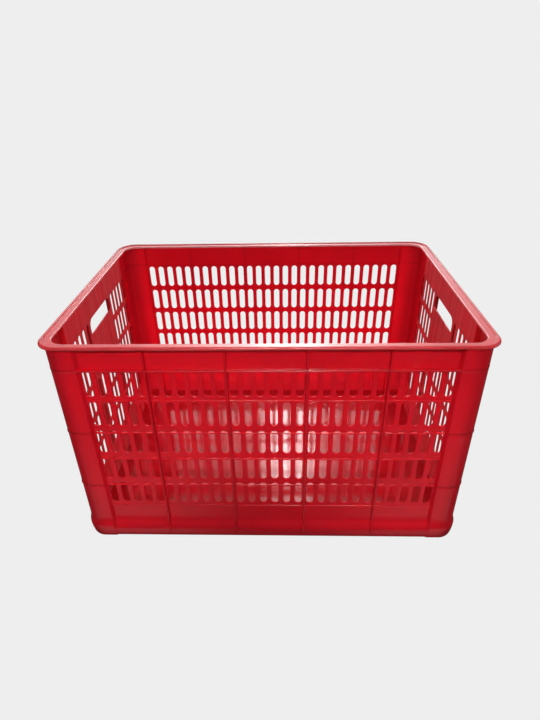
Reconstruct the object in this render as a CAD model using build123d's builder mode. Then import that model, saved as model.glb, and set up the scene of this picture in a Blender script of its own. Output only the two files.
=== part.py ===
"""Ventilated harvest crate of moulded plastic.

The crate is one moulding. It is drawn here as the panels, posts, ribs, rim and foot that the moulding is
made up of, which meet face to face. +X runs along the crate, the front wall faces -Y, +Z is up, and the
origin lies in the middle of the foot, on the ground.
"""
import os
from math import sqrt

from build123d import *

# Shell, in millimetres
cavity_length = 580.0
cavity_width = 404.0
height = 361.0
wall = 2.0
rib_depth = 6.0
corner_radius = 15.0

# Rim: a flange with a raised bead along its outer edge
rim_overhang = 7.0
flange_thickness = 3.0
bead_width = 5.0
bead_rise = 1.5
bead_round = 1.2
flange_round = 0.8

# Corner posts, measured from the post's outer face to where its flank meets the panel
post_reach_long = 45.5
post_reach_end = 66.7

# Ventilation slots
slot_width = 11.2
slot_height = 42.3
bar_width = 7.0
row_gap = 8.5
plain_band = 42.8

# Hand-holes in the end walls, between the uprights and under the ledge
hole_width = 102.0
hole_height = 24.6
hole_round = 12.0
hole_rows = 2

# Ribs on the outside of the panels
upright_thickness = 3.0
upright_columns = (3, 9)
end_upright_column = 3
ledge_thickness = 3.0
ledge_gap = 1.0
bead_rib_thickness = 2.2
bead_rib_depth = 1.2
crossed_rows = (2, 4)
crossing_drop = 5.4
skimmed_rows = (3,)
skimming_drop = 3.3

# Foot and floor. The foot swells out below the posts and tucks in at the ground: level of each turn of its
# outline, from the top down, and how far the outline stands out there. The lower walls between the feet also
# come out to the posts' faces, by a share of the ribs' depth at each turn
base_height = 63.0
base_rib_gap = 2.25
foot_turns = [(42.0, 0.0), (33.6, 1.0), (26.9, 2.5), (20.2, 2.5), (10.1, 1.5), (2.9, 0.5), (0.0, -1.0)]
flare_shares = [0.0, 0.0, 0.25, 0.7, 0.95, 0.95, 0.95]
belly_turns = 4
floor_level = 14.0
floor_thickness = 3.0
floor_rib_thickness = 3.0
floor_rib_height = 9.0
floor_rib_spacing = 58.0

# Planes of the walls, as distances from the middle of the crate
inner_x = cavity_length / 2
inner_y = cavity_width / 2
outer_x = inner_x + wall
outer_y = inner_y + wall
tip_x = outer_x + rib_depth
tip_y = outer_y + rib_depth
corner_x = inner_x - corner_radius
corner_y = inner_y - corner_radius
post_x = tip_x - post_reach_long
post_y = tip_y - post_reach_end
flank_inset = wall * (sqrt(2) - 1)

# Levels and pitches
flange_top = height - bead_rise
rim_underside = flange_top - flange_thickness
rows_top = height - plain_band
foot_height = foot_turns[0][0]
hole_top = rows_top + ledge_gap
hole_bottom = hole_top - hole_height
rim_width = wall + rib_depth + rim_overhang
slot_pitch = slot_width + bar_width
row_pitch = slot_height + row_gap

# Counts that follow from the sizes
long_columns = 2 * int((post_x - slot_width / 2) / slot_pitch + 0.5)
end_upright = end_upright_column * slot_pitch
first_end_column = end_upright + slot_pitch / 2
last_end_column = post_y - slot_width / 2
end_columns = int((last_end_column - first_end_column) / slot_pitch) + 1
slot_rows = int((rows_top - base_height + row_pitch - slot_height) / row_pitch)
lower_rows = slot_rows - hole_rows
grip_bottom = rows_top - hole_rows * row_pitch + row_gap / 2
base_turns = [(level, swell + share * rib_depth) for (level, swell), share in zip(foot_turns, flare_shares)]

front_plane = Plane(origin=(0, -inner_y, 0), x_dir=(0, -1, 0), z_dir=(-1, 0, 0))
right_plane = Plane(origin=(inner_x, 0, 0), x_dir=(1, 0, 0), z_dir=(0, -1, 0))
corner_plane = Plane(origin=(corner_x, corner_y, 0), x_dir=(1, 0, 0), z_dir=(0, -1, 0))
corner_axis = Axis((corner_x, corner_y, 0), (0, 0, 1))

os.makedirs("parts", exist_ok=True)


def write(piece, name):
    """Label a finished piece and write it to its own file."""
    piece.part.label = name
    export_step(piece.part, f"parts/{name}.step")


def write_pair(piece, name, other_name, about):
    """Write a piece and its mirror image in the crate's middle plane."""
    with BuildPart() as twin:
        mirror(piece.part, about=about)
    write(piece, name)
    write(twin, other_name)


def write_corners(piece, kind):
    """Write the back right corner piece and its three mirror images."""
    with BuildPart() as back_left:
        mirror(piece.part, about=Plane.YZ)
    write_pair(piece, f"{kind}_back_right", f"{kind}_front_right", Plane.XZ)
    write_pair(back_left, f"{kind}_back_left", f"{kind}_front_left", Plane.XZ)


def rim_section(start):
    """Section of the rim, with the wall's inner face at the distance start from the sketch's origin."""
    end = start + rim_width
    with BuildSketch() as drawing:
        with BuildLine():
            Polyline(
                (start, rim_underside),
                (end, rim_underside),
                (end, height),
                (end - bead_width, height),
                (end - bead_width, flange_top),
                (start, flange_top),
                close=True,
            )
        rim_face = make_face()
        edge = rim_face.vertices().group_by(Axis.X)[-1]
        crest = rim_face.vertices().group_by(Axis.Y)[-1].sort_by(Axis.X)[:1]
        lip = rim_face.vertices().group_by(Axis.X)[0].sort_by(Axis.Y)[-1:]
        fillet(edge + crest, min(bead_round, bead_rise))
        fillet(lip, flange_round)
    return drawing.sketch


def base_section():
    """Section of the lower wall: upright at first, then coming out to the feet."""
    with BuildSketch() as drawing:
        with BuildLine():
            Polyline(
                (0, 0),
                (0, base_height),
                (wall, base_height),
                *[(wall + reach, level) for level, reach in base_turns],
                close=True,
            )
        make_face()
    return drawing.sketch


def upright_side():
    """Side view of an upright rib, which follows the foot's swelling and runs out where the lower wall has
    come out to it."""
    end_level, end_reach = base_turns[belly_turns]
    with BuildSketch() as drawing:
        with BuildLine():
            Polyline(
                (wall, rim_underside),
                (wall + rib_depth, rim_underside),
                *[(wall + rib_depth + swell, level) for level, swell in foot_turns[:belly_turns]],
                (wall + end_reach, end_level),
                *[(wall + reach, level) for level, reach in reversed(base_turns[:belly_turns])],
                close=True,
            )
        make_face()
    return drawing.sketch


def post_plan(swell, reach):
    """Plan of the back right post: a shell with sloping flanks, its outer face moved out by swell and the
    walls beside it by reach."""
    shell_x = inner_x + rib_depth
    shell_y = inner_y + rib_depth
    with BuildSketch() as drawing:
        with BuildLine():
            Polyline(
                (post_x, inner_y),
                (post_x + flank_inset, inner_y),
                (post_x + flank_inset + rib_depth, shell_y),
                (corner_x, shell_y),
            )
            CenterArc((corner_x, corner_y), corner_radius + rib_depth, 0, 90)
            Polyline(
                (shell_x, corner_y),
                (shell_x, post_y + flank_inset + rib_depth),
                (inner_x, post_y + flank_inset),
                (inner_x, post_y),
                (outer_x + reach, post_y),
                (tip_x + swell, post_y + rib_depth),
                (tip_x + swell, corner_y),
            )
            CenterArc((corner_x, corner_y), corner_radius + wall + rib_depth + swell, 0, 90)
            Polyline(
                (corner_x, tip_y + swell),
                (post_x + rib_depth, tip_y + swell),
                (post_x, outer_y + reach),
                (post_x, inner_y),
            )
        make_face()
    return drawing.sketch


def hand_hole():
    """Hand-hole with rounded upper corners."""
    half = hole_width / 2
    bend = half - hole_round
    shoulder = hole_top - hole_round
    with BuildSketch() as drawing:
        with BuildLine():
            Polyline((-half, shoulder), (-half, hole_bottom), (half, hole_bottom), (half, shoulder))
            CenterArc((bend, shoulder), hole_round, 0, 90)
            Line((bend, hole_top), (-bend, hole_top))
            CenterArc((-bend, shoulder), hole_round, 90, 90)
        make_face()
    return drawing.sketch


def draw_plain(start, end, bottom, top):
    """Rectangle between two stations along a wall and two levels."""
    with Locations(((start + end) / 2, (bottom + top) / 2)):
        Rectangle(end - start, top - bottom)


def draw_slots(middle, columns, rows):
    """The lowest rows of upright slots with round ends, cut from the wall drawn so far."""
    rows_middle = rows_top - slot_height / 2 - (slot_rows - (rows + 1) / 2) * row_pitch
    with Locations((middle, rows_middle)):
        with GridLocations(slot_pitch, row_pitch, columns, rows):
            SlotOverall(slot_height, slot_width, rotation=90, mode=Mode.SUBTRACT)


def bay_plan(stops, depth):
    """Plan of a cross rib: one stretch in each bay between uprights, mitred to the flanks of the posts."""
    half = upright_thickness / 2
    starts = [(stops[0], stops[0] - depth)] + [(stop + half, stop + half) for stop in stops[1:-1]]
    ends = [(stop - half, stop - half) for stop in stops[1:-1]] + [(stops[-1], stops[-1] + depth)]
    with BuildSketch() as drawing:
        for (start, start_tip), (end, end_tip) in zip(starts, ends):
            with BuildLine():
                Polyline((start, 0), (end, 0), (end_tip, depth), (start_tip, depth), close=True)
            make_face()
    return drawing.sketch


def rib_sizes(row, crossing):
    """Level, thickness and depth of the cross rib over a row of slots, where row 0 is the top one, or of the
    last rib, which lies over the lower wall. If crossing, some ribs run across the tops of their slots."""
    row_top = rows_top - row * row_pitch
    if row == 0:
        return row_top + ledge_gap, ledge_thickness, rib_depth
    if row == slot_rows:
        return base_height + base_rib_gap, bead_rib_thickness, bead_rib_depth
    if crossing and row in crossed_rows:
        return row_top - crossing_drop, bead_rib_thickness, bead_rib_depth
    if crossing and row in skimmed_rows:
        return row_top - skimming_drop, bead_rib_thickness, bead_rib_depth
    return row_top + ledge_gap, bead_rib_thickness, bead_rib_depth


# Slotted long walls
with BuildPart() as front_panel:
    with BuildSketch(Plane.XZ.offset(inner_y)):
        draw_plain(-post_x, post_x, base_height, rim_underside)
        draw_slots(0, long_columns, slot_rows)
    extrude(amount=wall)
write_pair(front_panel, "front_panel", "back_panel", Plane.XZ)

# End walls: slotted panels at both sides and in the middle, where the grip with the hand-hole lies over them
with BuildPart() as vent_panel:
    with BuildSketch(Plane.YZ.offset(inner_x)):
        draw_plain(end_upright, post_y, base_height, rim_underside)
        draw_slots(first_end_column + (end_columns - 1) * slot_pitch / 2, end_columns, slot_rows)
    extrude(amount=wall)
write_corners(vent_panel, "vent_panel")

with BuildPart() as middle_panel:
    with BuildSketch(Plane.YZ.offset(inner_x)):
        draw_plain(-end_upright, end_upright, base_height, grip_bottom)
        draw_slots(0, 2 * end_upright_column, lower_rows)
    extrude(amount=wall)
write_pair(middle_panel, "vent_panel_middle_right", "vent_panel_middle_left", Plane.YZ)

with BuildPart() as grip_panel:
    with BuildSketch(Plane.YZ.offset(inner_x)):
        draw_plain(-end_upright, end_upright, grip_bottom, rim_underside)
        add(hand_hole(), mode=Mode.SUBTRACT)
    extrude(amount=wall)
write_pair(grip_panel, "grip_panel_right", "grip_panel_left", Plane.YZ)

# Corner posts, and the swollen feet below them
with BuildPart() as post:
    with BuildSketch(Plane.XY.offset(foot_height)):
        add(post_plan(0, 0))
    extrude(amount=rim_underside - foot_height)
write_corners(post, "corner_post")

with BuildPart() as foot:
    for (level, swell), (_, reach) in zip(foot_turns, base_turns):
        with BuildSketch(Plane.XY.offset(level)):
            add(post_plan(swell, reach))
    loft(ruled=True)
write_corners(foot, "corner_foot")

# Lower walls between the feet
with BuildPart() as front_base:
    with BuildSketch(front_plane):
        add(base_section())
    extrude(amount=post_x, both=True)
write_pair(front_base, "base_front", "base_back", Plane.XZ)

with BuildPart() as right_base:
    with BuildSketch(right_plane):
        add(base_section())
    extrude(amount=post_y, both=True)
write_pair(right_base, "base_right", "base_left", Plane.YZ)

# Rim rails and rim corners
with BuildPart() as front_rail:
    with BuildSketch(front_plane):
        add(rim_section(0))
    extrude(amount=corner_x, both=True)
write_pair(front_rail, "rim_front", "rim_back", Plane.XZ)

with BuildPart() as right_rail:
    with BuildSketch(right_plane):
        add(rim_section(0))
    extrude(amount=corner_y, both=True)
write_pair(right_rail, "rim_right", "rim_left", Plane.YZ)

with BuildPart() as rim_corner:
    with BuildSketch(corner_plane):
        add(rim_section(corner_radius))
    revolve(axis=corner_axis, revolution_arc=90)
write_corners(rim_corner, "rim_corner")

# Upright ribs
long_stations = [side * column * slot_pitch for side in (-1, 1) for column in upright_columns]
end_stations = [-end_upright, end_upright]

with BuildPart() as front_uprights:
    with BuildSketch(*[front_plane.offset(station) for station in long_stations]):
        add(upright_side())
    extrude(amount=upright_thickness / 2, both=True)
write_pair(front_uprights, "uprights_front", "uprights_back", Plane.XZ)

with BuildPart() as right_uprights:
    with BuildSketch(*[right_plane.offset(station) for station in end_stations]):
        add(upright_side())
    extrude(amount=upright_thickness / 2, both=True)
write_pair(right_uprights, "uprights_right", "uprights_left", Plane.YZ)

# Cross ribs: a ledge over the top row and beads over the rows below
long_stops = sorted(long_stations + [-post_x, post_x])
end_stops = [-post_y, *end_stations, post_y]

with BuildPart() as front_ribs:
    for row in range(slot_rows + 1):
        level, thickness, depth = rib_sizes(row, crossing=True)
        with BuildSketch(Plane((0, -outer_y, level + thickness), x_dir=(1, 0, 0), z_dir=(0, 0, -1))):
            add(bay_plan(long_stops, depth))
        extrude(amount=thickness)
write(front_ribs, "cross_ribs_front")

with BuildPart() as back_ribs:
    for row in range(slot_rows + 1):
        level, thickness, depth = rib_sizes(row, crossing=False)
        with BuildSketch(Plane((0, outer_y, level), x_dir=(1, 0, 0), z_dir=(0, 0, 1))):
            add(bay_plan(long_stops, depth))
        extrude(amount=thickness)
write(back_ribs, "cross_ribs_back")

with BuildPart() as right_ribs:
    for row in range(slot_rows + 1):
        level, thickness, depth = rib_sizes(row, crossing=False)
        with BuildSketch(Plane((outer_x, 0, level + thickness), x_dir=(0, 1, 0), z_dir=(0, 0, -1))):
            add(bay_plan(end_stops, depth))
        extrude(amount=thickness)
write_pair(right_ribs, "cross_ribs_right", "cross_ribs_left", Plane.YZ)

# Floor plate inside the feet, with stiffening ribs below it
with BuildPart() as floor_plate:
    with BuildSketch(Plane.XY.offset(floor_level - floor_thickness)):
        with BuildLine():
            Polyline(
                (0, inner_y),
                (post_x + flank_inset, inner_y),
                (post_x + flank_inset + rib_depth, inner_y + rib_depth),
                (corner_x, inner_y + rib_depth),
            )
            CenterArc((corner_x, corner_y), corner_radius + rib_depth, 0, 90)
            Polyline(
                (inner_x + rib_depth, corner_y),
                (inner_x + rib_depth, post_y + flank_inset + rib_depth),
                (inner_x, post_y + flank_inset),
                (inner_x, 0),
            )
            mirror(about=Plane.YZ)
            mirror(about=Plane.XZ)
        make_face()
    extrude(amount=floor_thickness)
write(floor_plate, "floor_plate")

long_floor_ribs = 2 * int((inner_y - floor_rib_thickness) / floor_rib_spacing) + 1
cross_floor_ribs = 2 * int((inner_x - floor_rib_thickness) / floor_rib_spacing) + 1
with BuildPart() as floor_ribs:
    with BuildSketch(Plane.XY.offset(floor_level - floor_thickness)):
        with GridLocations(0, floor_rib_spacing, 1, long_floor_ribs):
            Rectangle(cavity_length, floor_rib_thickness)
        with GridLocations(floor_rib_spacing, 0, cross_floor_ribs, 1):
            Rectangle(floor_rib_thickness, cavity_width)
    extrude(amount=-floor_rib_height)
write(floor_ribs, "floor_ribs")
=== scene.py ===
"""Looks of a red ventilated harvest crate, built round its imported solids.

The crate is one moulding, so its pieces run into each other: slotted walls, hollow corner posts that swell
into feet, ribs, a rim and a floor. Sizes are in metres, in the frame of the solids.
"""
from math import cos, pi, radians, sin

import bpy
import numpy as np
from mathutils import Matrix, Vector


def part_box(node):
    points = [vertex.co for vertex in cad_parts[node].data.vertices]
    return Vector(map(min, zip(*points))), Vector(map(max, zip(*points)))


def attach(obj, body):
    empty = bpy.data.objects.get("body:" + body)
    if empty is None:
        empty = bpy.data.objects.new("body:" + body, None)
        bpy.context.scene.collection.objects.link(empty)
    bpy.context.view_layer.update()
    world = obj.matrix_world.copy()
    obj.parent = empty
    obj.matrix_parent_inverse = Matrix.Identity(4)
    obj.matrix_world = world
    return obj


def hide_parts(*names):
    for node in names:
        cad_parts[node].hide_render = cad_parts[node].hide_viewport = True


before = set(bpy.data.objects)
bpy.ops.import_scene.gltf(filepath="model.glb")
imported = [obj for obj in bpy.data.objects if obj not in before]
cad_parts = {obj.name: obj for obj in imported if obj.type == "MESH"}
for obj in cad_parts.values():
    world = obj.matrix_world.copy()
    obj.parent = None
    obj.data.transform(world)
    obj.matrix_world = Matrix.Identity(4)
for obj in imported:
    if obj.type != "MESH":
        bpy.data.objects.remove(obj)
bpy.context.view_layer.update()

MM = 0.001

# Planes and levels, read from the solids
panel_low, panel_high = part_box("front_panel")
_, post_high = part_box("corner_post_back_right")
_, vent_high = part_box("vent_panel_back_right")
grip_low, grip_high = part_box("grip_panel_right")
rim_low, rim_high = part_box("rim_back")
INNER_Y = -panel_high.y
OUTER_Y = -panel_low.y
INNER_X = grip_low.x
OUTER_X = grip_high.x
WALL = OUTER_Y - INNER_Y
TIP_X = post_high.x
TIP_Y = post_high.y
RIB_DEPTH = TIP_Y - OUTER_Y
POST_X = panel_high.x
POST_Y = vent_high.y
CORNER_RADIUS = INNER_X - rim_high.x
RIM_WIDTH = rim_high.y - INNER_Y
TOP = rim_high.z
RIM_UNDERSIDE = rim_low.z
BASE_HEIGHT = panel_low.z
END_UPRIGHT = grip_high.y
GRIP_BOTTOM = grip_low.z

# Rim: radius of its inner edge at a corner, how much of the way out is added to that radius, and the roll
# along its outer edge
RIM_TURN = CORNER_RADIUS + 7.0 * MM
RIM_TURN_GROWTH = 0.55
ROLL_RISE = 1.5 * MM
ROLL_TOP_WIDTH = 4.4 * MM
ROLL_FOOT_WIDTH = 5.2 * MM
RIM_ROUNDS = np.array([0.1, 1.4, 2.8, 0.5, 0.4, 1.6]) * MM

# Posts: how far their flanks reach along the wall, and the rounding of their edges
FLANK = RIB_DEPTH * 0.6
FLANK_FOOT_ROUND = 0.6 * MM
FLANK_TOP_ROUND = 2.2 * MM
INNER_FLANK_ROUND = 1.5 * MM
SHARP = 0.05 * MM

# Ventilation slots, a little narrower and lower than in the solids, and in the same places
SLOT_WIDTH = 10.8 * MM
SLOT_HEIGHT = 41.9 * MM
SLOT_PITCH = 18.2 * MM
ROW_TOP_TO_MIDDLE = 21.15 * MM
ROW_PITCH = 50.8 * MM
ROWS = 5
RIM_TO_ROWS = 42.8 * MM
ROWS_TOP = TOP - RIM_TO_ROWS
ROW_MIDDLES = ROWS_TOP - ROW_TOP_TO_MIDDLE - ROW_PITCH * np.arange(ROWS)
LONG_COLUMNS = 28
END_COLUMNS = 5
MIDDLE_COLUMNS = 6
MIDDLE_ROWS = 3
OUTER_LIP = 0.8 * MM
INNER_LIP = 0.4 * MM
ARC_STEPS = 8

# Ribs
UPRIGHT_THICKNESS = 3.0 * MM
UPRIGHT_ROOT_HALF = UPRIGHT_THICKNESS * 0.75
UPRIGHT_TIP_HALF = UPRIGHT_THICKNESS * 0.42
UPRIGHT_COLUMNS = (3, 9)
LEDGE_THICKNESS = 3.0 * MM
LEDGE_GAP = 1.0 * MM
BEAD_THICKNESS = 2.2 * MM
BEAD_DEPTH = 1.2 * MM
BEAD_ROOT = 0.3 * MM
BASE_BEAD_GAP = 2.25 * MM
RIB_SUNK = 0.5 * MM
UPRIGHT_SUNK = 0.8 * MM
# Beads under the ledge: on the front wall some cross the tops of the slots below them, elsewhere none does
BEADS_BETWEEN_ROWS = [*(ROWS_TOP + LEDGE_GAP - ROW_PITCH * np.arange(1, ROWS)), BASE_HEIGHT + BASE_BEAD_GAP]
BEADS_ON_FRONT = BEADS_BETWEEN_ROWS - np.array([0.0, 6.4, 4.3, 6.4, 0.0]) * MM

# Hand-holes, under the ledge
HOLE_HALF = 51.0 * MM
HOLE_HEIGHT = 24.6 * MM
HOLE_TOP = ROWS_TOP + LEDGE_GAP
HOLE_BOTTOM = HOLE_TOP - HOLE_HEIGHT
HOLE_ROUND = 12.0 * MM
HOLE_FOOT_ROUND = 2.0 * MM

# Foot: level of each turn of its outline, how far it stands out there, and the share of the ribs' depth
# by which the lower walls have come out to the posts
FOOT_LEVELS = np.array([0.0, 2.9, 10.1, 20.2, 26.9, 33.6, 42.0]) * MM
FOOT_SWELL = np.array([-1.0, 0.7, 2.1, 3.1, 3.0, 0.8, 0.0]) * MM
FLARE = np.array([0.78, 0.78, 0.78, 0.6, 0.2, 0.0, 0.0])
FOOT_SOFTNESS = 2.0 * MM
FOOT_SHARP_BELOW = 1.5 * MM
FOOT_STATIONS = np.concatenate([[0, 0.7, 1.5], np.arange(3, 49, 1.5)]) * MM

# Lower ends of the uprights: where they stop, and how deep their tips sink there and up to which level
UPRIGHT_BOTTOM = 10.1 * MM
TIP_SINK = 0.5 * MM
TIP_SINK_TOP = 16.0 * MM

# Bands round the posts, level with the ledge and with two of the beads
BAND_LEVELS = np.array([ROWS_TOP + LEDGE_GAP + LEDGE_THICKNESS / 2, BEADS_ON_FRONT[1] + BEAD_THICKNESS / 2,
                        BEADS_ON_FRONT[3] + BEAD_THICKNESS / 2])
BAND_RISE = np.array([0.4, 0.7, 0.8]) * MM
BAND_HALF = 2.4 * MM

# Each wall: direction along it, direction out of it, and how far its inner face is from the middle
WALLS = {
    "front": (np.array([1.0, 0, 0]), np.array([0, -1.0, 0]), INNER_Y),
    "back": (np.array([-1.0, 0, 0]), np.array([0, 1.0, 0]), INNER_Y),
    "right": (np.array([0, 1.0, 0]), np.array([1.0, 0, 0]), INNER_X),
    "left": (np.array([0, -1.0, 0]), np.array([-1.0, 0, 0]), INNER_X),
}
UP = np.array([0, 0, 1.0])


# Mesh helpers

def link(name, data):
    """A new object for some data, linked to the scene."""
    made = bpy.data.objects.new(name, data)
    bpy.context.scene.collection.objects.link(made)
    return made


def smooth_mesh(name, points, faces):
    """A mesh from points and faces, shaded smooth."""
    mesh = bpy.data.meshes.new(name)
    mesh.from_pydata(points.tolist(), [], [list(map(int, face)) for face in faces])
    mesh.polygons.foreach_set("use_smooth", np.ones(len(mesh.polygons), bool))
    return mesh


def on_wall(side, along, up, out):
    """Points of a wall from their place along it, their level and their depth out from its inner face."""
    direction, outward, inner = WALLS[side]
    along, up, out = np.broadcast_arrays(along, up, out)
    return along[..., None] * direction + up[..., None] * UP + (inner + out[..., None]) * outward


def rounded(corners, radii, steps=4):
    """Closed outline through the corners, each turned by an arc of its own radius. An arc's points are
    turned evenly from the foot of the perpendicular on one side to that on the other."""
    corners = np.asarray(corners, float)
    radii = np.broadcast_to(radii, len(corners))[:, None]
    before = np.roll(corners, 1, axis=0) - corners
    after = np.roll(corners, -1, axis=0) - corners
    before /= np.linalg.norm(before, axis=1, keepdims=True)
    after /= np.linalg.norm(after, axis=1, keepdims=True)
    half = np.arccos(np.clip((before * after).sum(1), -1, 1))[:, None] / 2
    middle = before + after
    middle /= np.linalg.norm(middle, axis=1, keepdims=True)
    centres = corners + middle * radii / np.sin(half)
    start = corners + before * radii / np.tan(half) - centres
    end = corners + after * radii / np.tan(half) - centres
    turn = (pi - 2 * half)[:, :, None]
    share = np.linspace(0, 1, steps + 1)[None, :, None]
    arcs = np.sin((1 - share) * turn) * start[:, None] + np.sin(share * turn) * end[:, None]
    return (centres[:, None] + arcs / np.sin(turn)).reshape(-1, 2)


def ring_faces(rings, points, closed):
    """Quads of a grid of rings, each closed round its points, with the rings joined in a loop if closed."""
    ring = np.arange(rings if closed else rings - 1)[:, None]
    point = np.arange(points)[None, :]
    nearer, further = ring * points, (ring + 1) % rings * points
    beside = (point + 1) % points
    return np.stack([nearer + point, nearer + beside, further + beside, further + point], -1).reshape(-1, 4)


def make_piece(name, points, faces, material, *nodes, sharp=40):
    """A piece of the moulding from its points and its faces, turned outwards by the sign of its volume,
    shaded smooth except at edges sharper than the given angle, and standing for the named nodes."""
    points = np.asarray(points, float).reshape(-1, 3)
    fans = [(face[0], face[i], face[i + 1])
            for face in faces if len(face) > 4 for i in range(1, len(face) - 1)]
    quads = np.array([face for face in faces if len(face) == 4])
    triangles = np.concatenate([quads[:, [0, 1, 2]], quads[:, [0, 2, 3]],
                                np.array(fans, int).reshape(-1, 3)])
    a, b, c = points[triangles].transpose(1, 0, 2)
    if (a * np.cross(b, c)).sum() < 0:
        faces = [face[::-1] for face in faces]
    mesh = smooth_mesh(name, points, faces)
    mesh.set_sharp_from_angle(angle=radians(sharp))
    mesh.update()
    piece = link(name, mesh)
    mesh.materials.append(material)
    weighted = piece.modifiers.new("even_shading", "WEIGHTED_NORMAL")
    weighted.keep_sharp = True
    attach(piece, "root")
    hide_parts(*nodes)
    return piece


def skin(grid, closed=False):
    """Points and faces of a grid of section rings, with flat ends unless the rings join in a loop."""
    rings, points = grid.shape[:2]
    faces = [list(face) for face in ring_faces(rings, points, closed)]
    if not closed:
        faces.append(list(range(points))[::-1])
        faces.append(list(range((rings - 1) * points, rings * points)))
    return grid.reshape(-1, 3), faces


def join(skins):
    """Several skins as one set of points and faces."""
    starts = np.cumsum([0] + [len(points) for points, _ in skins])
    faces = [[corner + start for corner in face] for (_, own), start in zip(skins, starts) for face in own]
    return np.concatenate([points for points, _ in skins]), faces


def between_turns(level, sizes):
    """A size of the foot at a level: straight lines between its turns, averaged over a few millimetres so
    that they bend softly, but not at the ground."""
    level = np.asarray(level)
    spread = np.linspace(-FOOT_SOFTNESS, FOOT_SOFTNESS, 13)
    soft = np.interp(level[..., None] + spread, FOOT_LEVELS, sizes).mean(-1)
    return np.where(level < FOOT_SHARP_BELOW, np.interp(level, FOOT_LEVELS, sizes), soft)


def foot_swell(level):
    """How far the posts' faces stand out at a level."""
    return between_turns(level, FOOT_SWELL)


def base_reach(level):
    """How far the lower walls stand out at a level: with the foot, and towards the posts' faces."""
    return between_turns(level, FOOT_SWELL + FLARE * RIB_DEPTH)


# Slotted walls

def slot_rings():
    """Outline of a slot about its middle, as rings of (radius added, depth) that run from the outer face
    over the outer lip, through the wall and over the inner lip to the inner face."""
    turns = np.radians([0, 45, 90])
    outer = np.stack([OUTER_LIP * (1 - np.sin(turns)), WALL - OUTER_LIP * (1 - np.cos(turns))], -1)
    inner = np.stack([INNER_LIP * (1 - np.sin(turns)), INNER_LIP * (1 - np.cos(turns))], -1)[::-1]
    return np.concatenate([outer, inner])


def slotted_panel(side, middles, edges, levels, low, high):
    """A wall with rows of upright slots. Each slot has a cell of its own: the cell's edge on the outer
    face, the rings of the slot, and the cell's edge on the inner face. A slot is two half circles, and a
    point of the cell's edge lies where a slot's point is thrown outwards onto the cell's sides."""
    radius = SLOT_WIDTH / 2
    straight = SLOT_HEIGHT / 2 - radius
    half_turn = np.linspace(0, pi, ARC_STEPS + 1)
    angle = np.concatenate([half_turn, half_turn + pi])
    shift = np.repeat([straight, -straight], ARC_STEPS + 1)
    tops = np.concatenate([[high], (levels[:-1] + levels[1:]) / 2])
    bottoms = np.concatenate([(levels[:-1] + levels[1:]) / 2, [low]])
    across = np.clip(np.sqrt(2) * np.cos(angle), -1, 1)
    upward = np.clip(np.sqrt(2) * np.sin(angle), -1, 1)
    column, row = [i.ravel() for i in np.meshgrid(np.arange(len(middles)), np.arange(len(levels)))]
    middle, level = middles[column][:, None], levels[row][:, None]
    left = middle - edges[column][:, None]
    right = edges[column + 1][:, None] - middle
    cell_u = middle + np.where(across > 0, across * right, across * left)
    above = tops[row][:, None] - level - straight
    below = level - straight - bottoms[row][:, None]
    cell_v = level + shift + np.where(upward > 0, upward * above, upward * below)
    rings = slot_rings()
    reach = radius + rings[:, 0]
    slot_u = middle[:, None] + reach[None, :, None] * np.cos(angle)
    slot_v = level[:, None] + shift + reach[None, :, None] * np.sin(angle)
    slot_w = np.broadcast_to(rings[None, :, 1, None], slot_u.shape)
    u = np.concatenate([cell_u[:, None], slot_u, cell_u[:, None]], 1)
    v = np.concatenate([cell_v[:, None], slot_v, cell_v[:, None]], 1)
    w = np.concatenate([np.full_like(cell_u, WALL)[:, None], slot_w, np.zeros_like(cell_u)[:, None]], 1)
    cells, count, points = u.shape
    quads = ring_faces(count, points, False)
    start = np.arange(cells)[:, None, None] * count * points
    quads = (quads[None] + start).reshape(-1, 4)
    here = np.arange(points)
    beside, last = (here + 1) % points, (count - 1) * points
    border = np.stack([here, here + last, beside + last, beside], -1)
    border = (border[None] + start).reshape(-1, 4)
    u, v, w = u.ravel(), v.ravel(), w.ravel()
    on_edge = np.zeros(len(border), bool)
    for place, limit in ((u, edges[0]), (u, edges[-1]), (v, low), (v, high)):
        on_edge |= (np.abs(place[border] - limit) < 1e-7).all(1)
    faces = np.concatenate([quads, border[on_edge]])
    flat = np.round(np.stack([u, v, w], -1), 8)
    merged, index = np.unique(flat, axis=0, return_inverse=True)
    return on_wall(side, *merged.T), index.ravel()[faces]


def cell_edges(start, middles, end):
    """Edges of the cells of a stretch of columns: its ends, and halfway between the columns' middles."""
    return np.concatenate([[start], (middles[:-1] + middles[1:]) / 2, [end]])


def even_columns(count, start, end):
    """Middles of columns spread evenly about the middle of a stretch, and the edges of their cells."""
    middles = (start + end) / 2 + (np.arange(count) - (count - 1) / 2) * SLOT_PITCH
    return middles, cell_edges(start, middles, end)


def long_panel(side):
    """A long wall, slotted from post to post."""
    middles, edges = even_columns(LONG_COLUMNS, -POST_X, POST_X)
    return slotted_panel(side, middles, edges, ROW_MIDDLES, BASE_HEIGHT, RIM_UNDERSIDE)


def vent_panel(side, sign):
    """A slotted stretch of an end wall, from its upright to its post."""
    columns = sign * (END_UPRIGHT + (np.arange(END_COLUMNS) + 0.5) * SLOT_PITCH)
    middles = np.sort(columns)
    start, end = sorted((sign * END_UPRIGHT, sign * POST_Y))
    edges = cell_edges(start, middles, end)
    return slotted_panel(side, middles, edges, ROW_MIDDLES, BASE_HEIGHT, RIM_UNDERSIDE)


def middle_panel(side):
    """The slotted middle of an end wall, under the grip."""
    middles, edges = even_columns(MIDDLE_COLUMNS, -END_UPRIGHT, END_UPRIGHT)
    return slotted_panel(side, middles, edges, ROW_MIDDLES[-MIDDLE_ROWS:], BASE_HEIGHT, GRIP_BOTTOM)


# Hand-hole in an end wall

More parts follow.
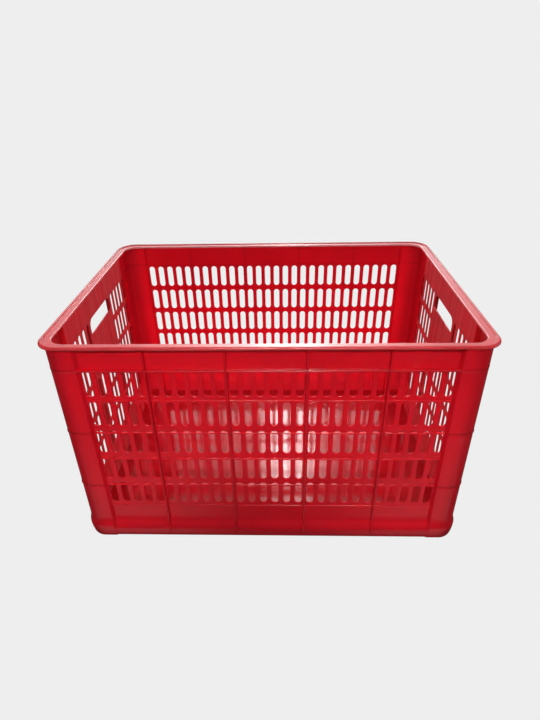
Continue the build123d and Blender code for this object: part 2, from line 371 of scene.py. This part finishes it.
def hole_outline(grow, steps):
    """Outline of the hand-hole, moved outwards by grow: flat below, with wide arcs at its upper corners."""
    half = HOLE_HALF + grow
    corners = [(half, HOLE_BOTTOM - grow), (half, HOLE_TOP + grow), (-half, HOLE_TOP + grow),
               (-half, HOLE_BOTTOM - grow)]
    radii = np.array([HOLE_FOOT_ROUND, HOLE_ROUND, HOLE_ROUND, HOLE_FOOT_ROUND]) + grow
    return rounded(corners, radii, steps)


def grip_panel(side, steps=8):
    """The grip in the middle of an end wall. Rings run from its edge over the hole's lips and back to the
    edge, and the arcs at the hole's corners are thrown onto the corners of the grip."""
    rings = slot_rings()
    hole = np.stack([hole_outline(grow, steps) for grow in rings[:, 0]])
    corners = np.array([(END_UPRIGHT, GRIP_BOTTOM), (END_UPRIGHT, RIM_UNDERSIDE),
                        (-END_UPRIGHT, RIM_UNDERSIDE), (-END_UPRIGHT, GRIP_BOTTOM)])
    arcs = hole[0].reshape(4, steps + 1, 2)
    turned = np.array([False, True, False, True])
    first = np.stack([np.where(turned, corners[:, 0], arcs[:, 0, 0]),
                      np.where(turned, arcs[:, 0, 1], corners[:, 1])], -1)
    last = np.stack([np.where(turned, arcs[:, -1, 0], corners[:, 0]),
                     np.where(turned, corners[:, 1], arcs[:, -1, 1])], -1)
    share = np.linspace(0, 2, steps + 1)[None, :, None]
    edge = np.where(share <= 1, first[:, None] + (corners - first)[:, None] * share,
                    corners[:, None] + (last - corners)[:, None] * (share - 1)).reshape(1, -1, 2)
    plan = np.concatenate([edge, hole, edge])
    depth = np.concatenate([[WALL], rings[:, 1], [0.0]])[:, None]
    grid = on_wall(side, plan[..., 0], plan[..., 1], depth)
    return grid.reshape(-1, 3), [list(f) for f in ring_faces(*grid.shape[:2], True)]


# Ribs, lower walls, posts and rim

def bar(side, section, start, end, start_tip=0.0, end_tip=0.0):
    """A rib along a wall: its section of (depth, level), carried from start to end, with ends that slope
    by the tips over the rib's depth."""
    depth = section[:, 0] - WALL
    along = np.stack([start - start_tip * depth, end + end_tip * depth])
    return skin(on_wall(side, along, section[None, :, 1], section[None, :, 0]))


def half_length(side):
    """Half the length of a wall between its posts."""
    return POST_X if side in ("front", "back") else POST_Y


def bays(side):
    """Stretches of a wall between its posts and uprights, as (start, end, slope at start, slope at end)."""
    reach = half_length(side)
    stops = [-reach, *uprights_at(side), reach]
    return [(a, b, float(a == -reach), float(b == reach)) for a, b in zip(stops, stops[1:])]


def uprights_at(side):
    """Places of a wall's upright ribs along it."""
    if side in ("left", "right"):
        return [-END_UPRIGHT, END_UPRIGHT]
    return sorted(sign * column * SLOT_PITCH for sign in (-1, 1) for column in UPRIGHT_COLUMNS)


def upright(side, middle):
    """An upright rib: a tapered tongue with a rounded tip, carried down the wall. Its tip follows the
    foot's swelling and sinks into the lower wall where that has come out to it."""
    root, tip = UPRIGHT_ROOT_HALF, UPRIGHT_TIP_HALF
    tongue = rounded([(-root, 0), (root, 0), (tip, RIB_DEPTH), (-tip, RIB_DEPTH)],
                     np.array([0.1, 0.1, 1.1, 1.1]) * MM, 4)
    level = np.concatenate([FOOT_STATIONS[FOOT_STATIONS >= UPRIGHT_BOTTOM], [RIM_UNDERSIDE]])
    root_sink = np.where(tongue[:, 1] > RIB_DEPTH / 2, 0.0, UPRIGHT_SUNK)
    low_sink = np.interp(level, [UPRIGHT_BOTTOM, TIP_SINK_TOP], [TIP_SINK, 0.0])[:, None]
    depth = WALL + foot_swell(level)[:, None] + tongue[:, 1] - root_sink - low_sink
    return skin(on_wall(side, middle + tongue[None, :, 0], level[:, None], depth))


def ledge_section():
    """Section of the ledge over the top row: a flat shelf with a rounded nose."""
    low = ROWS_TOP + LEDGE_GAP
    high = low + LEDGE_THICKNESS
    root, nose = WALL - RIB_SUNK, WALL + RIB_DEPTH
    return rounded([(root, low), (nose, low), (nose, high), (root, high)],
                   np.array([0.1, 1.1, 1.1, 0.1]) * MM, 4)


def bead_section(low):
    """Section of a bead: a low rib with a rounded nose, whose root is near the wall's inner face."""
    high, nose = low + BEAD_THICKNESS, WALL + BEAD_DEPTH
    return rounded([(BEAD_ROOT, low), (nose, low), (nose, high), (BEAD_ROOT, high)],
                   np.array([0.1, 0.7, 0.7, 0.1]) * MM, 4)


def cross_ribs(side):
    """The ledge and the beads of a wall, a stretch in each bay. A bead goes through the wall, so that where
    it meets slots its flat top shows in their upper ends."""
    levels = BEADS_ON_FRONT if side == "front" else BEADS_BETWEEN_ROWS
    sections = [ledge_section()] + [bead_section(low) for low in levels]
    return join([bar(side, section, *bay) for bay in bays(side) for section in sections])


def base_wall(side):
    """A lower wall: its section comes out to the feet and is carried from post to post."""
    reach = half_length(side)
    level = np.concatenate([FOOT_STATIONS, [BASE_HEIGHT]])
    outer = np.stack([WALL + base_reach(level), level], -1)
    section = np.concatenate([outer, [(0, BASE_HEIGHT), (0, 0)]])
    return skin(on_wall(side, np.array([[-reach], [reach]]), section[None, :, 1], section[None, :, 0]))


def post_outline(swell, reach):
    """Plan of the back right post, with its faces moved out by swell and the walls beside it by reach:
    faces with steep flanks and a round corner, then back along the inner face of the shell."""
    inset = WALL * (np.sqrt(2) - 1)
    shell_x, shell_y = INNER_X + RIB_DEPTH, INNER_Y + RIB_DEPTH
    corners = [(INNER_X, POST_Y), (OUTER_X + reach, POST_Y), (TIP_X + swell, POST_Y + FLANK),
               (TIP_X + swell, TIP_Y + swell), (POST_X + FLANK, TIP_Y + swell), (POST_X, OUTER_Y + reach),
               (POST_X, INNER_Y), (POST_X + inset, INNER_Y), (POST_X + inset + RIB_DEPTH, shell_y),
               (shell_x, shell_y), (shell_x, POST_Y + inset + RIB_DEPTH), (INNER_X, POST_Y + inset)]
    turn = CORNER_RADIUS + WALL + RIB_DEPTH + swell
    outer = [SHARP, FLANK_FOOT_ROUND, FLANK_TOP_ROUND, turn, FLANK_TOP_ROUND, FLANK_FOOT_ROUND, SHARP]
    inner = [SHARP, INNER_FLANK_ROUND, CORNER_RADIUS + RIB_DEPTH, INNER_FLANK_ROUND, SHARP]
    return rounded(corners, np.array(outer + inner), 8)


def band_swell(level):
    """How far the bands stand out at a level: each is one wave of a cosine, highest at its own level."""
    turn = np.clip((np.asarray(level)[..., None] - BAND_LEVELS) / BAND_HALF, -1, 1) * pi
    return (BAND_RISE * (1 + np.cos(turn)) / 2).sum(-1)


def post(sign_x, sign_y):
    """A corner post with its foot: its plan carried up from the ground to the rim and mirrored."""
    band_stations = (BAND_LEVELS[:, None] + np.linspace(-1, 1, 9) * BAND_HALF).ravel()
    level = np.sort(np.concatenate([FOOT_STATIONS, band_stations, [RIM_UNDERSIDE]]))
    swell = foot_swell(level) + band_swell(level)
    plan = np.stack([post_outline(*sizes) for sizes in zip(swell, base_reach(level))])
    height = np.broadcast_to(level[:, None], plan.shape[:2])
    return skin(np.stack([plan[..., 0] * sign_x, plan[..., 1] * sign_y, height], -1))


def rim_section():
    """Section of the rim as (distance out from the inner face, level): a flat flange with a rounded lip and
    a raised roll along its outer edge."""
    flange = TOP - ROLL_RISE
    corners = [(0, RIM_UNDERSIDE), (RIM_WIDTH, RIM_UNDERSIDE), (RIM_WIDTH, TOP),
               (RIM_WIDTH - ROLL_TOP_WIDTH, TOP), (RIM_WIDTH - ROLL_FOOT_WIDTH, flange), (0, flange)]
    return rounded(corners, RIM_ROUNDS, 5)


def rim(steps=14):
    """The rim: its section carried round a rectangle with round corners. Each point of the section has a
    turn of its own, whose radius grows from the inner edge by a share of the distance out."""
    section = rim_section()
    turn = np.linspace(0, pi / 2, steps)
    angle = np.concatenate([turn + quarter * pi / 2 for quarter in range(4)])
    across, along = np.cos(angle), np.sin(angle)
    quarter = np.repeat(np.arange(4), steps)
    sign_x = np.array([1, -1, -1, 1])[quarter][:, None]
    sign_y = np.array([1, 1, -1, -1])[quarter][:, None]
    out = section[None, :, 0]
    reach = RIM_TURN + RIM_TURN_GROWTH * out
    grid = np.stack([sign_x * (INNER_X + out - reach) + across[:, None] * reach,
                     sign_y * (INNER_Y + out - reach) + along[:, None] * reach,
                     np.broadcast_to(section[None, :, 1], (4 * steps, len(section)))], -1)
    return skin(grid, closed=True)


# Shader graphs

class Value:
    """An output of a node, with arithmetic that adds Math nodes to its tree."""

    def __init__(self, graph, socket):
        self.graph, self.socket = graph, socket

    def __add__(self, other):
        return self.graph.math("ADD", self, other)

    def __sub__(self, other):
        return self.graph.math("SUBTRACT", self, other)

    def __mul__(self, other):
        return self.graph.math("MULTIPLY", self, other)

    def __rsub__(self, other):
        return self.graph.math("SUBTRACT", other, self)

    def __pow__(self, other):
        return self.graph.math("POWER", self, other)

    __radd__ = __add__
    __rmul__ = __mul__


class Graph:
    """A node tree that is emptied first and then filled node by node."""

    def __init__(self, tree):
        self.tree = tree
        tree.nodes.clear()

    def node(self, kind, settings=None, inputs=None, output=0):
        """A node of a kind, with its settings set first and then its sockets' values or links."""
        made = self.tree.nodes.new(kind)
        for name, value in (settings or {}).items():
            setattr(made, name, value)
        for name, value in (inputs or {}).items():
            if isinstance(value, Value):
                self.tree.links.new(value.socket, made.inputs[name])
            else:
                made.inputs[name].default_value = value
        return Value(self, made.outputs[output] if made.outputs else None)

    def math(self, operation, *values):
        """A Math node of an operation on one or two values."""
        return self.node("ShaderNodeMath", {"operation": operation}, dict(enumerate(values)))

    def parts(self, vector):
        """The three parts of a vector."""
        return [self.node("ShaderNodeSeparateXYZ", None, {0: vector}, output=part) for part in range(3)]

    def noise(self, place, scale, detail=2.0, roughness=0.5):
        """Soft noise at a place, from 0 to 1."""
        return self.node("ShaderNodeTexNoise", {"noise_dimensions": "3D"},
                         {"Vector": place, "Scale": scale, "Detail": detail, "Roughness": roughness})

    def steps(self, value, low, high):
        """A value turned into 0 below low and 1 above high, with a smooth rise between them."""
        return self.node("ShaderNodeMapRange", {"interpolation_type": "SMOOTHSTEP"},
                         {"Value": value, "From Min": low, "From Max": high})

    def absolute(self, value):
        """Size of a value without its sign."""
        return self.math("ABSOLUTE", value)

    def between(self, value, rise, fall):
        """1 between a rise and a fall of a value, each given as (from, to), and 0 outside them."""
        return self.steps(value, *rise) * (1 - self.steps(value, *fall))

    def line(self, value, middle, half):
        """1 where a value lies within half of a middle, falling softly to 0 beside it."""
        return 1 - self.steps(self.absolute(value - middle), half * 0.8, half * 1.5)

    def stretched(self, place, turn, scale):
        """Place turned and scaled, for patterns that run in one direction."""
        return self.node("ShaderNodeMapping", None, {"Vector": place, "Rotation": turn, "Scale": scale})

    def mix(self, share, first, second):
        """Colour from first to second as the share goes from 0 to 1."""
        return self.node("ShaderNodeMix", {"data_type": "RGBA"}, {0: share, 6: first, 7: second}, output=2)


RED = (0.82, 0.007, 0.021, 1)
# The walls' red made darker on the rim: painted shade, since the rim's top catches more light than the
# walls
RIM_SHADED_RED = (0.69, 0.006, 0.015, 1)
# The walls' red made darker on the floor: painted shade for the floor deep in the crate
FLOOR_SHADED_RED = (0.70, 0.008, 0.020, 1)
# Colour towards which painted shade darkens the walls and the floor
PAINTED_SHADE_RED = (0.30, 0.004, 0.008, 1)
# Colour of a painted glow that stands for daylight through the walls
THROUGH_RED = (0.26, 0.004, 0.010, 1)
# Pale pink of a highlight painted along the rim's inner edge, and of the rim's wear
HIGHLIGHT_AND_WEAR_PINK = (0.92, 0.42, 0.44, 1)
SCUFFED_RED = (0.85, 0.13, 0.14, 1)
BLACK = (0, 0, 0, 1)
WHITE = (1, 1, 1, 1)

# How strongly each kind of painted shade darkens the walls, and where the painted shade of a corner starts
# and is full, measured in from the ribs' tips
RIB_SHADE = 0.16
LEDGE_TO_RIB_SHADE = 1.2
CORNER_SHADE = 0.45
CORNER_SHADE_START = 34.0 * MM
CORNER_SHADE_FULL = 12.0 * MM
BAND_SHADE = 0.4
TOP_BAND_TO_BAND_SHADE = 0.5

# Painted glow for daylight through the walls: its share on the end walls and higher up the back posts
END_DAYLIGHT = 0.32
POST_DAYLIGHT = 0.22


def new_material(name):
    """A new material and the graph of its nodes."""
    material = bpy.data.materials.new(name)
    material.use_nodes = True
    return material, Graph(material.node_tree)


def on_posts(graph, far_x, far_y, start):
    """1 on the corner posts, rising over two millimetres from a start beyond their edges."""
    return graph.math("MAXIMUM", graph.steps(far_x, POST_X + start, POST_X + start + 2.0 * MM),
                      graph.steps(far_y, POST_Y + start, POST_Y + start + 2.0 * MM))


def turn_distance(graph, far_x, far_y, radius):
    """Distance of a point out from the centre of a corner's turn, in plan: on the inner faces of the walls
    it is the turn's radius, and on those of the posts it is more by the ribs' depth."""
    beyond = [graph.math("MAXIMUM", value - (inner - radius), 0.0)
              for value, inner in ((far_x, INNER_X), (far_y, INNER_Y))]
    return (beyond[0] * beyond[0] + beyond[1] * beyond[1]) ** 0.5


def wall_shade(graph, across, along, level, drift):
    """Painted shade on the walls: a little along the uprights and the ledge, where thick plastic lets less
    light through and contact shade falls, at the round outer corners, where they turn away from the light,
    over the bands round the posts, and in patches near the ground."""
    far_x, far_y = [graph.absolute(value) for value in (across, along)]
    on_long = graph.steps(far_y, INNER_Y - 2.0 * MM, INNER_Y - 1.0 * MM)
    on_end = graph.steps(far_x, INNER_X - 2.0 * MM, INNER_X - 1.0 * MM)
    # Painted shade along the uprights and the ledge
    long_lines = [graph.line(far_x, column * SLOT_PITCH, UPRIGHT_ROOT_HALF) for column in UPRIGHT_COLUMNS]
    end_line = graph.line(far_y, END_UPRIGHT, UPRIGHT_ROOT_HALF)
    ledge_middle = ROWS_TOP + LEDGE_GAP + LEDGE_THICKNESS / 2
    ledge = graph.line(level, ledge_middle, LEDGE_THICKNESS / 2) * LEDGE_TO_RIB_SHADE
    ribs = sum(long_lines, ledge) * on_long + (end_line + ledge) * on_end
    # Painted shade at the round outer corners, where they turn away from the light
    corner_x, corner_y = [graph.steps(far, tip - CORNER_SHADE_START, tip - CORNER_SHADE_FULL)
                          for far, tip in ((far_x, TIP_X), (far_y, TIP_Y))]
    # Painted shade near the ground, in patches
    ground = (1 - graph.steps(level, 4.0 * MM, 28.0 * MM)) * (drift * 0.5 + 0.25)
    inside_post = CORNER_RADIUS + RIB_DEPTH
    outside = graph.steps(turn_distance(graph, far_x, far_y, CORNER_RADIUS),
                          inside_post + 0.6 * MM, inside_post + 1.6 * MM)
    # Painted shade just over the bands round the posts
    over_top_band = graph.line(level, BAND_LEVELS[0] + 2.0 * MM, 1.0 * MM) * TOP_BAND_TO_BAND_SHADE
    over_others = [graph.line(level, band + 3.2 * MM, 1.5 * MM) for band in BAND_LEVELS[1:]]
    bands = sum(over_others, over_top_band) * on_posts(graph, far_x, far_y, 0.0) * outside
    return ribs * RIB_SHADE + corner_x * corner_y * CORNER_SHADE + bands * BAND_SHADE + ground


def floor_shade(graph, across, along, level, drift):
    """Painted shade on the floor: darker along the back wall, where shade falls, and faint patches of
    darker tone.
    """
    # Painted shade along the back wall, and faint patches of darker tone
    back_wall_shade = graph.steps(along, 100.0 * MM, INNER_Y - 4.0 * MM)
    return back_wall_shade * 0.25 + graph.steps(drift, 0.45, 0.75) * 0.2


def wall_dust(graph, across, along, level):
    """1 on the inner faces of the end walls, from the front posts to the back ones and up to the rim."""
    far = graph.absolute(across)
    inside = graph.steps(far, INNER_X - 3.0 * MM, INNER_X - 1.0 * MM)
    outside = graph.steps(far, INNER_X + RIB_DEPTH + 0.3 * MM, INNER_X + RIB_DEPTH + 0.8 * MM)
    front = graph.steps(along, 14.0 * MM - INNER_Y, 34.0 * MM - INNER_Y)
    back = graph.steps(along, POST_Y - 15.0 * MM, POST_Y)
    top = graph.steps(level, RIM_UNDERSIDE, RIM_UNDERSIDE + 0.5 * MM)
    return inside * (1 - outside) * front * (1 - back) * (1 - top)


def rim_edge_highlight(graph, across, along):
    """1 along the rim's inner edge, where a pale highlight is painted, fading out within two millimetres of
    it.
    """
    out = turn_distance(graph, graph.absolute(across), graph.absolute(along), RIM_TURN)
    return 1 - graph.steps(out, RIM_TURN + 0.5 * MM, RIM_TURN + 1.7 * MM)


def daylight(graph, across, along, level):
    """Painted light: a glow on the walls' inner faces that stands for the daylight the walls let through: 1
    at the foot of the back wall and of the posts beside it, fading out up the wall, and less on the end
    walls and higher up the back posts."""
    far = graph.absolute(across)
    out = turn_distance(graph, far, along, CORNER_RADIUS)
    in_post = graph.line(out, CORNER_RADIUS + RIB_DEPTH, 0.8 * MM) * on_posts(graph, far, along, 1.0 * MM)
    inner = graph.line(out, CORNER_RADIUS, 0.6 * MM) + in_post
    back = graph.steps(along, 100.0 * MM, 170.0 * MM)
    foot = (1 - graph.steps(level, 6.0 * MM, 85.0 * MM)) * back
    end = graph.line(far, INNER_X, 0.6 * MM)
    return inner * foot + in_post * back * POST_DAYLIGHT + end * END_DAYLIGHT


def red_plastic(name, colour, roughness, scuffs, ior, texture, shade=None, rim_highlight_and_wear=False):
    """Moulded red plastic: colour that drifts slowly and darkens by a painted shade, fine drag marks down
    the wall, a faint orange peel, light scuffs as thin crossed scratches, streaks of dust inside both ends,
    and a painted glow on the inner faces for daylight through the walls. On the rim, a pale highlight is
    painted along the inner edge, with faint pale wear over the whole rim that also paints in part of its
    sheen. Texture is the strength of the drag marks and of the peel."""
    material, graph = new_material(name)
    place = graph.node("ShaderNodeTexCoord", output=3)
    across, along, level = graph.parts(place)
    drift = graph.noise(place, 11.0, detail=3.0)
    marks = graph.noise(graph.stretched(place, (0, 0, 0), (420.0, 420.0, 9.0)), 1.0)
    streak_noise = graph.noise(graph.stretched(place, (0, 0, 0), (90.0, 90.0, 5.0)), 1.0, detail=3.0)
    streaks = graph.steps(streak_noise, 0.3, 0.7)
    patches = graph.steps(graph.noise(place, 26.0, detail=4.0, roughness=0.6), 0.48, 0.66)
    scratch_a = graph.noise(graph.stretched(place, (0, 0, 0.5), (900.0, 26.0, 26.0)), 1.0, detail=1.0)
    scratch_b = graph.noise(graph.stretched(place, (0, 0, -0.8), (30.0, 900.0, 30.0)), 1.0, detail=1.0)
    scratches = graph.steps(scratch_a, 0.66, 0.74) + graph.steps(scratch_b, 0.67, 0.75)
    wear = scratches * patches * scuffs
    deeper = tuple(0.9 * part for part in colour[:3]) + (1,)
    colour = graph.mix(graph.steps(drift, 0.3, 0.7), deeper, colour)
    if shade:
        # Painted shade: the colour darkens where the shade says
        colour = graph.mix(shade(graph, across, along, level, drift), colour, PAINTED_SHADE_RED)
    if rim_highlight_and_wear:
        # A pale highlight painted along the rim's inner edge, and faint pale wear over the whole rim that
        # also paints in part of its sheen
        pale_highlight_and_wear = rim_edge_highlight(graph, across, along) * (drift * 0.7 + 0.2) + drift * 0.2
        colour = graph.mix(pale_highlight_and_wear, colour, HIGHLIGHT_AND_WEAR_PINK)
    colour = graph.mix(wear, colour, SCUFFED_RED)
    gloss = marks * texture + drift * 0.06 + wear * 0.25 + patches * (0.12 * scuffs) + (roughness - 0.08)
    peel = graph.noise(place, 650.0, detail=1.0) * 0.35 + marks * 0.5 + wear * 0.8
    bump = graph.node("ShaderNodeBump", None, {"Strength": texture, "Distance": 0.6 * MM, "Height": peel})
    # Painted light: a glow on the inner faces for daylight through the walls
    through = graph.mix(daylight(graph, across, along, level), BLACK, THROUGH_RED)
    plastic = {"Base Color": colour, "IOR": ior, "Normal": bump,
               "Emission Color": through, "Emission Strength": 1.0, "Subsurface Weight": 0.3,
               "Subsurface Radius": (1.0, 0.05, 0.05), "Subsurface Scale": 3.0 * MM}
    clean = graph.node("ShaderNodeBsdfPrincipled", None, {**plastic, "Roughness": gloss})
    dusty = graph.node("ShaderNodeBsdfPrincipled", None,
                       {**plastic, "Roughness": gloss + 0.2, "Sheen Weight": 0.25, "Sheen Roughness": 0.5})
    dust = wall_dust(graph, across, along, level) * (streaks * 0.3 + 0.6)
    shader = graph.node("ShaderNodeMixShader", None, {0: dust, 1: clean, 2: dusty})
    graph.node("ShaderNodeOutputMaterial", None, {"Surface": shader})
    return material


wall_plastic = red_plastic("wall_plastic", RED, roughness=0.22, scuffs=0.06, ior=1.5, texture=0.10,
                           shade=wall_shade)
# The rim's red is darker than the walls': painted shade
rim_plastic = red_plastic("rim_plastic", RIM_SHADED_RED, roughness=0.25, scuffs=0.1, ior=1.42, texture=0.03,
                          rim_highlight_and_wear=True)
# The floor's red is darker than the walls': painted shade
floor_plastic = red_plastic("floor_plastic", FLOOR_SHADED_RED, roughness=0.06, scuffs=0.5, ior=1.5, texture=0.10,
                            shade=floor_shade)

# Pieces
for side in ("front", "back"):
    make_piece(f"{side}_wall", *long_panel(side), wall_plastic, f"{side}_panel")
for side in ("left", "right"):
    along = WALLS[side][0][1]
    for place in ("front", "back"):
        sign = along * (1 if place == "back" else -1)
        make_piece(f"vent_wall_{place}_{side}", *vent_panel(side, sign), wall_plastic,
                   f"vent_panel_{place}_{side}")
    make_piece(f"grip_wall_{side}", *grip_panel(side), wall_plastic, f"grip_panel_{side}")
    make_piece(f"middle_wall_{side}", *middle_panel(side), wall_plastic, f"vent_panel_middle_{side}")
for side in WALLS:
    make_piece(f"lower_wall_{side}", *base_wall(side), wall_plastic, f"base_{side}")
    uprights = join([upright(side, place) for place in uprights_at(side)])
    make_piece(f"upright_ribs_{side}", *uprights, wall_plastic, f"uprights_{side}")
    make_piece(f"cross_beads_{side}", *cross_ribs(side), wall_plastic, f"cross_ribs_{side}")
for place_y, sign_y in (("front", -1), ("back", 1)):
    for place_x, sign_x in (("left", -1), ("right", 1)):
        corner = f"{place_y}_{place_x}"
        make_piece(f"post_{corner}", *post(sign_x, sign_y), wall_plastic, f"corner_post_{corner}",
                   f"corner_foot_{corner}")
make_piece("rim_loop", *rim(), rim_plastic, *[f"rim_{side}" for side in WALLS],
           *[f"rim_corner_{y}_{x}" for y in ("front", "back") for x in ("left", "right")])
for name in ("floor_plate", "floor_ribs"):
    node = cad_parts[name]
    node.data.materials.clear()
    node.data.materials.append(floor_plastic if name == "floor_plate" else wall_plastic)

# Floor and backdrop: a shallow bowl, flat round the crate and curved up all round far away, a little below
# the ground so that the two don't touch
PALE = (0.855, 0.855, 0.855, 1)
FLAT_RADIUS = 5.0
BEND_RADIUS = 3.0
BOWL_HEIGHT = 9.0
BOWL_DROP = 0.4 * MM
BOWL_SIDES = 96


def backdrop():
    """A bowl as a surface of revolution: flat to its bend, then a quarter circle up to a wall."""
    turn = np.linspace(0, pi / 2, 16)
    flat = np.array([0.02, 0.6, 1.5, 3.0])
    radius = np.concatenate([flat, FLAT_RADIUS + BEND_RADIUS * np.sin(turn), [FLAT_RADIUS + BEND_RADIUS]])
    level = np.concatenate([0 * flat, BEND_RADIUS * (1 - np.cos(turn)), [BOWL_HEIGHT]]) - BOWL_DROP
    angle = np.linspace(0, 2 * pi, BOWL_SIDES, endpoint=False)
    grid = np.stack([radius[:, None] * np.cos(angle), radius[:, None] * np.sin(angle),
                     np.broadcast_to(level[:, None], (len(radius), BOWL_SIDES))], -1)
    faces = [*ring_faces(len(radius), BOWL_SIDES, False), range(BOWL_SIDES)[::-1]]
    mesh = smooth_mesh("studio_floor", grid.reshape(-1, 3), faces)
    floor = link("studio_floor", mesh)
    material, graph = new_material("pale_floor")
    glow = graph.node("ShaderNodeEmission", None, {"Color": PALE, "Strength": 1.0})
    graph.node("ShaderNodeOutputMaterial", None, {"Surface": glow})
    mesh.materials.append(material)
    floor.visible_diffuse = floor.visible_glossy = floor.visible_shadow = False


backdrop()

# Light: a soft sky that is brighter behind the crate than in front, with a bright window in it, a low glow
# at both sides, and little below
world = bpy.data.worlds.new("soft_sky")
bpy.context.scene.world = world
world.use_nodes = True
sky = Graph(world.node_tree)
direction = sky.node("ShaderNodeTexCoord", output=0)
across, depth, height = sky.parts(direction)
aside = sky.absolute(across)
above = sky.steps(height, 0.0, 0.2)
zenith = sky.steps(height, 0.70, 0.95)
rear = sky.steps(depth, 0.5, 0.6)
behind = sky.steps(depth, 0.60, 0.88)
low_sky = sky.between(height, (0.18, 0.30), (0.48, 0.60)) * (1 - 0.6 * sky.steps(aside, 0.2, 0.33))
window = (rear * (1 - sky.steps(sky.absolute(across - 0.014), 0.032, 0.058))
          * sky.between(height, (0.30, 0.42), (0.70, 0.73)))
pane = 17.0 - sky.steps(height, 0.53, 0.57) * 7.5 + sky.steps(height, 0.62, 0.68) * 12.0
halo = rear * (1 - sky.steps(aside, 0.04, 0.34)) * sky.between(height, (0.30, 0.42), (0.66, 0.76))
rim_glow = rear * (1 - sky.steps(aside, 0.06, 0.24)) * sky.between(height, (0.38, 0.45), (0.52, 0.57))
below = sky.steps(0 - height, 0.55, 0.72)
ground_glow = below * sky.steps(aside, 0.08, 0.22) * sky.steps(0 - depth, 0.3, 0.5)
side_fill = sky.steps(aside, 0.82, 0.95) * sky.between(height, (-0.05, 0.1), (0.35, 0.5))

# Strength of the sky: a little everywhere, and what each part adds to it
SKY_EVERYWHERE = 0.04
sky_parts = [(above, 0.10), (zenith, 0.22), (above * behind, 1.1), (behind * low_sky, 1.6), (window, pane),
             (halo, 1.3), (rim_glow, 6.5), (ground_glow, 0.33), (side_fill, 0.75)]
strength = sum([part * added for part, added in sky_parts], SKY_EVERYWHERE)
background = sky.node("ShaderNodeBackground", None, {"Color": WHITE, "Strength": strength})
sky.node("ShaderNodeOutputWorld", None, {"Surface": background})


def facing(place, target):
    """Axes of something at a place that faces a target, as directions to its right, up and back."""
    back = np.subtract(place, target)
    back = back / np.linalg.norm(back)
    right = np.cross(UP, back)
    right = right / np.linalg.norm(right)
    return right, np.cross(back, right), back


def stand(made, place, right, up, back):
    """Put an object at a place, with its own axes along right, up and back."""
    turned = np.stack([right, up, back], 1)
    made.matrix_world = Matrix(np.block([[turned, np.reshape(place, (3, 1))],
                                         [np.zeros((1, 3)), np.ones((1, 1))]]).tolist())


def area_light(name, place, target, size, power, spread=180):
    """A rectangular light at a place, turned to a target, that shines over an angle of spread degrees."""
    light = bpy.data.lights.new(name, "AREA")
    light.shape = "RECTANGLE"
    light.size, light.size_y = size
    light.energy = power
    light.spread = radians(spread)
    lamp = link(name, light)
    stand(lamp, place, *facing(place, target))
    return lamp


LIGHT_PLACE = (0.04, -3.3, 2.75)
area_light("front_light", LIGHT_PLACE, target=(-0.02, -0.2, 0.24), size=(1.4, 0.2), power=1.88, spread=17)
area_light("inner_light", (0.05, -0.9, 1.9), target=(0.03, 0.2, 0.02), size=(1.2, 0.2), power=0.1, spread=9)
under_light = area_light("under_light", (0, 0.01, -1.3), target=(0, 0, 0), size=(1.5, 1.5), power=10)
under_light.visible_glossy = False


def shade_card(name, target, distance, half_width, half_height, density):
    """A card between the front light and a target, square to the line between them, that only throws a
    shadow: it holds back the density as a share of the light."""
    right, up, back = facing(LIGHT_PLACE, target)
    sides = np.array([(-1, -1), (1, -1), (1, 1), (-1, 1)])
    points = target + distance * back + sides[:, :1] * half_width * right + sides[:, 1:] * half_height * up
    mesh = smooth_mesh(name, points, [range(4)])
    card = link(name, mesh)
    card.visible_camera = card.visible_diffuse = card.visible_glossy = False
    material, graph = new_material(name)
    clear = graph.node("ShaderNodeBsdfTransparent")
    dark = graph.node("ShaderNodeBsdfDiffuse", None, {"Color": BLACK})
    veil = graph.node("ShaderNodeMixShader", None, {0: density, 1: clear, 2: dark})
    graph.node("ShaderNodeOutputMaterial", None, {"Surface": veil})
    mesh.materials.append(material)


shade_card("shade_card", target=(-0.03, -0.21, 0.02), distance=0.95, half_width=0.14, half_height=0.07,
           density=0.4)

# Camera: where it stands, how it is turned, and its focal length and middle in the image's pixels
IMAGE_WIDTH, IMAGE_HEIGHT = 540, 720
CAMERA_PLACE = np.array([22.26, -772.19, 670.38]) * MM
PITCH, YAW, ROLL = 0.5424, -0.0383, -0.0224
FOCAL_PIXELS = 500.71
MIDDLE_X, MIDDLE_Y = 266.70, 364.98
SENSOR = 36.0

ahead = np.array([sin(YAW) * cos(PITCH), cos(YAW) * cos(PITCH), -sin(PITCH)])
level_right = np.array([cos(YAW), -sin(YAW), 0])
level_up = np.cross(level_right, ahead)
camera_right = level_right * cos(ROLL) + level_up * sin(ROLL)
camera_up = level_up * cos(ROLL) - level_right * sin(ROLL)
lens = bpy.data.cameras.new("camera")
lens.sensor_width = SENSOR
lens.lens = FOCAL_PIXELS / IMAGE_HEIGHT * SENSOR
lens.shift_x = (IMAGE_WIDTH / 2 - MIDDLE_X) / IMAGE_HEIGHT
lens.shift_y = (MIDDLE_Y - IMAGE_HEIGHT / 2) / IMAGE_HEIGHT
camera = link("camera", lens)
stand(camera, CAMERA_PLACE, camera_right, camera_up, -ahead)
bpy.context.scene.camera = camera
bpy.context.scene.view_settings.view_transform = "Standard"
